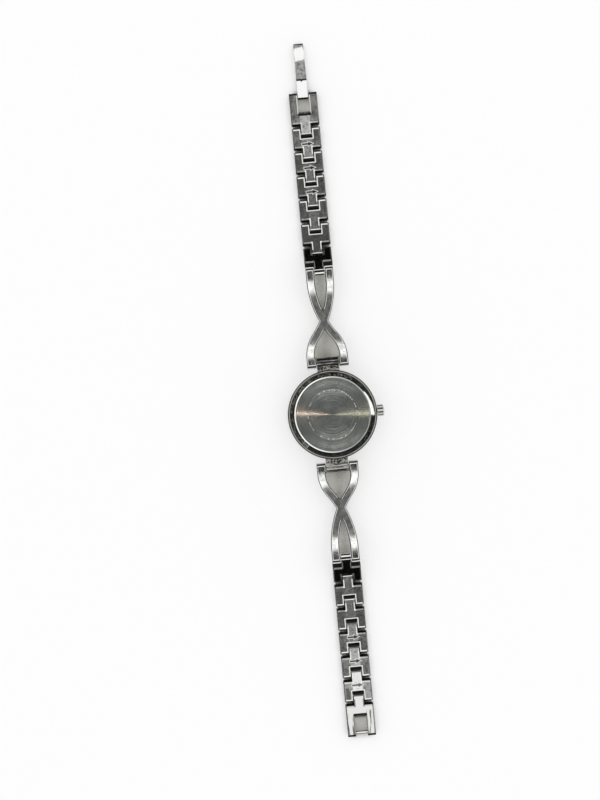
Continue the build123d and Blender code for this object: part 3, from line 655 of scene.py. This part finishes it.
def sunray_dial(name):
    """Silvered dial with a brushed sunray and a printed minute track."""
    finish = Finish(name)
    x, y, _ = finish.parts(finish.place())
    radius = (x * x + y * y).math("SQRT")
    angle = y.math("ARCTAN2", x)
    rays = finish.rings(angle, 60.0, 3.0)
    minute = (angle * (60 / (2 * pi)) + 0.5).math("FRACT").band(0.5, 0.05, 0.03)
    track = minute * radius.band(TRACK_RADIUS + 0.17, 0.12, 0.03) + radius.band(TRACK_RADIUS, 0.02, 0.02)
    print_mask = track.math("MINIMUM", 1)
    silver = finish.mix(rays, (0.66, 0.66, 0.64), (0.84, 0.84, 0.82))
    colour = finish.mix(print_mask, silver, (0.03, 0.03, 0.03))
    normal = finish.bump(rays, 0.004 * MM)
    return finish.surface(base_color=colour, metallic=0.6 - print_mask * 0.6, roughness=0.35, normal=normal)


def clear_crystal(name):
    """Mineral glass with faint hairline scratches on its outer face."""
    finish = Finish(name)
    place = finish.place()
    scratch = scratches(finish, place, 2, 6.0)
    normal = finish.bump(scratch, 0.001 * MM)
    return finish.surface(base_color=(0.97, 0.99, 0.98), metallic=0.0, roughness=0.02 + scratch * 0.05,
                          transmission_weight=1.0, ior=1.52, normal=normal)


def turned_brass(name, colour=BRASS):
    """Thin wheel with fine turned rings."""
    finish = Finish(name)
    x, y, _ = finish.parts(finish.place())
    radius = (x * x + y * y).math("SQRT")
    rings = finish.rings(radius, 14.0, 2.0)
    tint = finish.mix(rings, shaded(colour, 0.85), colour)
    return finish.surface(base_color=tint, metallic=1.0, roughness=0.22 + rings * 0.1,
                          normal=finish.bump(rings, 0.006 * MM))


def grained(name, colour, metal, rough, scale=2.0):
    """Plain stock with a fine grain, for parts inside the case."""
    finish = Finish(name)
    place = finish.place()
    grain = finish.noise(place, scale * 6, 4.0, 0.7)
    cloud = finish.noise(place, scale * 0.4, 3.0)
    tint = finish.mix(cloud, shaded(colour, 0.85), colour)
    return finish.surface(base_color=tint, metallic=metal, roughness=rough + grain * 0.12,
                          normal=finish.bump(grain, 0.008 * MM))


def wound_wire(name):
    """Copper wire wound round the coil, seen as fine ribs across its length, painted darker as shade
    between the turns.
    """
    finish = Finish(name)
    turned = finish.place(turn=(0, 0, radians(28)))
    x, _, _ = finish.parts(turned)
    ribs = (x * 6.0).math("FRACT").band(0.5, 0.1, 0.35)
    # Painted shade between the turns of wire.
    tint = finish.mix(ribs, shaded(COPPER, 0.4), COPPER)
    return finish.surface(base_color=tint, metallic=0.8, roughness=0.3, normal=finish.bump(ribs, 0.03 * MM))


def printed_board(name):
    """Green board with copper tracks under the lacquer."""
    finish = Finish(name)
    x, y, _ = finish.parts(finish.place())
    tracks = (x * 1.6).math("FRACT").band(0.5, 0.08, 0.04) * y.step(0.5, 0.8)
    colour = finish.mix(tracks, (0.03, 0.16, 0.08), (0.10, 0.30, 0.14))
    return finish.surface(base_color=colour, roughness=0.3, normal=finish.bump(tracks, 0.01 * MM))


def give(node, material):
    """Put a finish on a node of the frame."""
    shown = nodes[node]
    shown.data.materials.clear()
    shown.data.materials.append(material)


def finish_case():
    """Finishes for the case, the crown, the dial side and the movement."""
    give("case_body", case_steel("case_steel"))
    give("caseback", turned_back("caseback_turned"))
    give("bezel", polished("bezel_polish", 2.0, 0.05))
    give("crystal", clear_crystal("crystal_glass"))
    give("crown", crown_steel("crown_polish"))
    give("crown_stem", grained("stem_steel", STEEL, 1.0, 0.25))
    give("lug_pins", polished("lug_pin_steel", 5.0, 0.15))
    give("dial", sunray_dial("dial_silver"))
    give("dial_ring", polished("dial_ring_polish", 7.0, 0.10))
    give("crystal_gasket", grained("crystal_gasket_nylon", (0.85, 0.85, 0.82), 0.0, 0.45))
    give("caseback_gasket", grained("caseback_gasket_rubber", (0.03, 0.03, 0.03), 0.0, 0.6))
    give("hour_markers", polished("marker_polish", 8.0, 0.05, DARK_STEEL))
    for number, hand in enumerate(("hour_hand", "minute_hand", "second_hand")):
        give(hand, polished(f"{hand}_polish", 9.0 + number, 0.06, DARK_STEEL))
    for wheel in ("hour_wheel", "minute_wheel", "seconds_wheel"):
        give(wheel, turned_brass(f"{wheel}_brass"))
    give("main_plate", grained("main_plate_nickel", (0.66, 0.64, 0.58), 1.0, 0.28))
    give("train_bridge", grained("train_bridge_nickel", (0.70, 0.68, 0.62), 1.0, 0.24))
    give("setting_lever", grained("setting_lever_steel", (0.60, 0.60, 0.60), 1.0, 0.25))
    give("battery", turned_brass("battery_steel", (0.66, 0.66, 0.66)))
    give("coil", wound_wire("coil_copper"))
    give("circuit_board", printed_board("circuit_board_lacquer"))
    give("movement_ring", grained("movement_ring_plastic", (0.84, 0.84, 0.80), 0.0, 0.4))


def finish_chain(side, seed, painted_lights):
    """Finishes for one side of the bracelet. The seed tells its grain from the other side's."""
    for number, painted_light in enumerate(painted_lights, 1):
        name = f"{side}_link_{number}" if number <= LINKS else f"{side}_end_link"
        give(name, link_steel(f"{name}_steel", side, number, seed + number * 5.7, painted_light))
        give(f"{side}_pin_{number}", polished(f"{side}_pin_{number}_steel", seed + number, 0.18))
    give(f"{side}_cross_link", cross_steel(f"{side}_cross_link_steel", side, seed + 3.0))
    give(f"{side}_end_bar", bar_steel(f"{side}_end_bar_steel"))


def finish_clasp():
    """Finishes for the fold-over clasp."""
    give("clasp_arm", clasp_arm_steel("clasp_arm_steel"))
    give("clasp_lever", clasp_lever_steel("clasp_lever_steel"))
    give("clasp_pin", polished("clasp_pin_steel", 3.0, 0.15))


# Painted light of the links from the criss-cross link outwards, the end link last: how bright the face is
# painted, the steep first link darkest as painted shade, how much of it has a painted white sheen, and how
# far in millimetres painted shade reaches over the end of its tongue
SIX_PAINTED_LIGHT = ((0.3, 0, 0), (0.9, 0, 0), (1.0, 0.1, 0), (0.9, 0.1, 0),
            (1.0, 0.1, 0), (1.1, 0.2, 0), (1.2, 0.3, 0))
TWELVE_PAINTED_LIGHT = ((0.3, 0, 0), (0.9, 0.1, 0), (1.0, 0.1, 0), (1.1, 0.2, 0.4),
               (1.2, 0.3, 0.4), (1.2, 0.5, 0.4), (1.2, 1.0, 0.4))

finish_case()
finish_chain("six", 0.0, SIX_PAINTED_LIGHT)
finish_chain("twelve", 100.0, TWELVE_PAINTED_LIGHT)
finish_clasp()


# The table, the light and the camera

TABLE_WHITE = (0.99, 0.99, 0.99)
TABLE_SHADE = (0.13, 0.125, 0.09)
TABLE_GLOW = (0.33, 0.32, 0.26)
TABLE_WINDOW = (0.70, 0.68, 0.62)
TABLE_COVERED = (0.02, 0.02, 0.02)
TABLE_HALF = 3.0

# How far from the crown's axis the strands of a criss-cross link cross, in millimetres. From there its
# openings widen towards the case and towards the chain, each by a slope and up to a half width.
WAIST_REACH = 26.8
CASE_SLOPE, CASE_HALF = 0.62, 4.7
CHAIN_SLOPE, CHAIN_HALF = 0.32, 2.7

# Middle and half length of what lies over the table, along the bracelet, in millimetres
OPENINGS = (28, 12)
WINDOWS = (88, 4)
CHAIN = (64, 23)

# The studio is a dome. Its lights are strips ahead and behind, a wedge and a halo low down, and two small
# lights overhead that draw the coloured streak on the caseback. Angles are in degrees.
STUDIO_RADIUS = 2.0
STUDIO_DARK = 0.02
STUDIO_ABOVE = 0.20
STRIP_ANGLE, STRIP_LIGHT = 31, 1.5
WEDGE_LIGHT = 1.8
HALO_HEIGHT, HALO_LIGHT = 40.0, 1.3
SMALL_ANGLE, SMALL_HALF = 10.5, 5.0
LEFT_CORE, LEFT_FRINGE, RIGHT_FRINGE = 5.0, 2.4, 1.6
WHITE_LIGHT = (1, 1, 1, 1)
ORANGE_LIGHT = (1, 0.50, 0.22, 1)
YELLOW_LIGHT = (1, 0.93, 0.70, 1)


def table():
    """White table. The light that reaches it through the openings of the bracelet is dim and warm, and it
    is painted black as shadow where the chain lies close over it.
    """
    shape = bmesh.new()
    bmesh.ops.create_grid(shape, x_segments=1, y_segments=1, size=TABLE_HALF)
    mesh = bpy.data.meshes.new("table")
    shape.to_mesh(mesh)
    shape.free()
    top = bpy.data.objects.new("table", mesh)
    bpy.context.scene.collection.objects.link(top)
    finish = Finish("table_white")
    x, y, _ = finish.parts(finish.place())
    deep_cover = finish.add("ShaderNodeAmbientOcclusion", {"samples": 2}, {"Distance": 3 * MM}, "AO")
    near = finish.add("ShaderNodeAmbientOcclusion", {"samples": 2}, {"Distance": 7 * MM}, "AO")
    aside = x.math("ABSOLUTE")
    reach = y.math("ABSOLUTE")
    wide = ((WAIST_REACH - reach) * CASE_SLOPE).math("MINIMUM", CASE_HALF)
    narrow = ((reach - WAIST_REACH) * CHAIN_SLOPE).math("MINIMUM", CHAIN_HALF)
    limit = wide.math("MAXIMUM", narrow)
    opening = (1 - (aside - limit).step(-0.2, 0.5)) * reach.band(*OPENINGS, 1)
    window = (1 - aside.step(2.0, 3.0)) * reach.band(*WINDOWS, 2)
    shade = (1 - near.step(0.45, 1.0)) * (opening + window).math("MINIMUM", 1)
    cloud = finish.noise(finish.place(), 0.16, 3.0, 0.6)
    streak = (1 - aside.step(0.3, 1.8)) * (reach - WAIST_REACH).math("ABSOLUTE").step(1.5, 5.0)
    tone = (cloud.step(0.35, 0.65) * 0.6 + 0.4) * (1 - streak * 0.6)
    dim_opening = finish.mix(tone, TABLE_SHADE, TABLE_GLOW)
    dim_window = finish.mix(tone, TABLE_GLOW, TABLE_WINDOW)
    colour = finish.mix(shade, TABLE_WHITE, finish.mix(window, dim_opening, dim_window))
    # Painted shadow: the table is painted black where the chain lies close over it.
    under_chain = (1 - aside.step(3.5, 3.9)) * reach.band(*CHAIN, 1)
    covered = 1 - (deep_cover - under_chain * 0.4).step(0.08, 0.35)
    colour = finish.mix(covered, colour, TABLE_COVERED)
    lit = finish.add("ShaderNodeBsdfPrincipled", None, {"Base Color": colour, "Roughness": 0.6}, "BSDF")
    seen = finish.add("ShaderNodeEmission", None, {"Color": colour, "Strength": 1.0})
    camera_ray = finish.add("ShaderNodeLightPath", output="Is Camera Ray")
    both = finish.add("ShaderNodeMixShader", None, {0: camera_ray * 0.5, 1: lit, 2: seen})
    finish.node("ShaderNodeOutputMaterial", None, {"Surface": both})
    mesh.materials.append(finish.material)


def studio():
    """Dark studio overhead with soft light strips. Only reflections see it."""
    shape = bmesh.new()
    bmesh.ops.create_uvsphere(shape, u_segments=64, v_segments=32, radius=STUDIO_RADIUS)
    mesh = bpy.data.meshes.new("studio")
    shape.to_mesh(mesh)
    shape.free()
    dome = bpy.data.objects.new("studio", mesh)
    bpy.context.scene.collection.objects.link(dome)
    dome.visible_camera = False
    dome.visible_diffuse = False
    dome.visible_shadow = False
    dome.visible_transmission = False
    dome.visible_volume_scatter = False
    finish = Finish("studio_cards")
    x, y, z = finish.parts(finish.place(1 / STUDIO_RADIUS))
    along = y.math("ARCTAN2", z) * degrees(1)
    across = x.math("ARCTAN2", z) * degrees(1)
    height = z.math("ARCSINE") * degrees(1)
    strips = along.math("ABSOLUTE").band(STRIP_ANGLE, 5, 3) * across.band(0, 35, 15)
    level_x = x * cos(ROLL) - y * sin(ROLL)
    level_y = x * sin(ROLL) + y * cos(ROLL)
    near_line = (level_y.math("ARCTAN2", z) * degrees(1)).math("ABSOLUTE")
    sideways = level_x.math("ARCTAN2", z) * degrees(1)
    left = sideways.band(-SMALL_ANGLE, SMALL_HALF, 1.5)
    right = sideways.band(SMALL_ANGLE, SMALL_HALF, 1.5)
    core = 1 - near_line.step(0.08, 0.3)
    fringe = 1 - near_line.step(0.2, 0.6)
    round_about = y.math("ARCTAN2", x) * degrees(1)
    wedge_rise = (height - round_about * 0.4).step(14, 17) * (1 - height.step(33, 35))
    wedge = wedge_rise * round_about.band(12, 17, 2)
    halo = height.band(HALO_HEIGHT, 1.5, 1.5)
    level = STUDIO_DARK + (STUDIO_ABOVE - STUDIO_DARK) * height.step(45, 75)
    level = level + strips * STRIP_LIGHT + wedge * WEDGE_LIGHT + halo * HALO_LIGHT + core * left * LEFT_CORE
    lights = None
    for colour, strength in ((WHITE_LIGHT, level), (ORANGE_LIGHT, fringe * left * LEFT_FRINGE),
                             (YELLOW_LIGHT, (core + fringe) * right * RIGHT_FRINGE)):
        light = finish.add("ShaderNodeEmission", None, {"Color": colour, "Strength": strength})
        lights = finish.add("ShaderNodeAddShader", None, {0: lights, 1: light}) if lights else light
    finish.node("ShaderNodeOutputMaterial", None, {"Surface": lights})
    mesh.materials.append(finish.material)


def daylight():
    """Even white light from all round."""
    world = bpy.data.worlds.new("daylight")
    bpy.context.scene.world = world
    world.use_nodes = True
    world.node_tree.nodes["Background"].inputs["Color"].default_value = (1, 1, 1, 1)
    world.node_tree.nodes["Background"].inputs["Strength"].default_value = 1.0


def camera():
    """Straight above, rolled as the photograph is, with the case at its place in the picture."""
    lens = bpy.data.cameras.new("camera")
    lens.lens = 100
    distance = PHOTO_HEIGHT * PIXEL * lens.lens / lens.sensor_width
    right = Vector((cos(ROLL), -sin(ROLL), 0))
    up = Vector((sin(ROLL), cos(ROLL), 0))
    aside = (CASE_PIXEL[0] - PHOTO_WIDTH / 2) * PIXEL
    below = (CASE_PIXEL[1] - PHOTO_HEIGHT / 2) * PIXEL
    eye = bpy.data.objects.new("camera", lens)
    bpy.context.scene.collection.objects.link(eye)
    spot = up * below - right * aside + Vector((0, 0, distance))
    eye.matrix_world = Matrix((
        (right.x, up.x, 0, spot.x), (right.y, up.y, 0, spot.y), (0, 0, 1, spot.z), (0, 0, 0, 1)))
    bpy.context.scene.camera = eye
    bpy.context.scene.view_settings.view_transform = "Standard"


table()
studio()
daylight()
camera()
